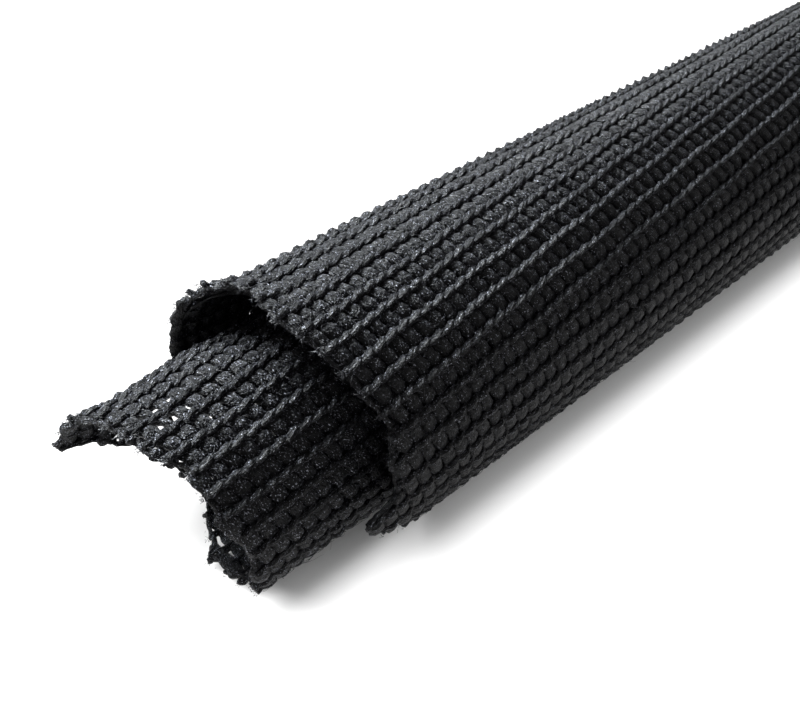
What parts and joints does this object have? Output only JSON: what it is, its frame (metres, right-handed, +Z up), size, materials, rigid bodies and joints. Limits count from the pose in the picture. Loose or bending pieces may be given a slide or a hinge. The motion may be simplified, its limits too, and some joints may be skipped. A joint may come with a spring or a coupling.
{
  "type": "knitted cable sleeve",
  "caption": "Soft black knitted textile sleeving for bundling cables: a smaller tube nested inside a larger one, with ragged cut ends.",
  "frame": {"origin": "on the floor, under the middle of the sleeve", "axes": "+X along the sleeve from the ragged cut to the square cut, +Z up"},
  "size_m": [0.3202, 0.0274, 0.0271],
  "materials": {
    "outer_fabric": "matt knitted polyester yarn",
    "inner_fabric": "matt knitted polyester yarn"
  },
  "bodies": {
    "root": {"outer_sleeve": "outer_fabric", "inner_sleeve": "inner_fabric"}
  },
  "joints": []
}
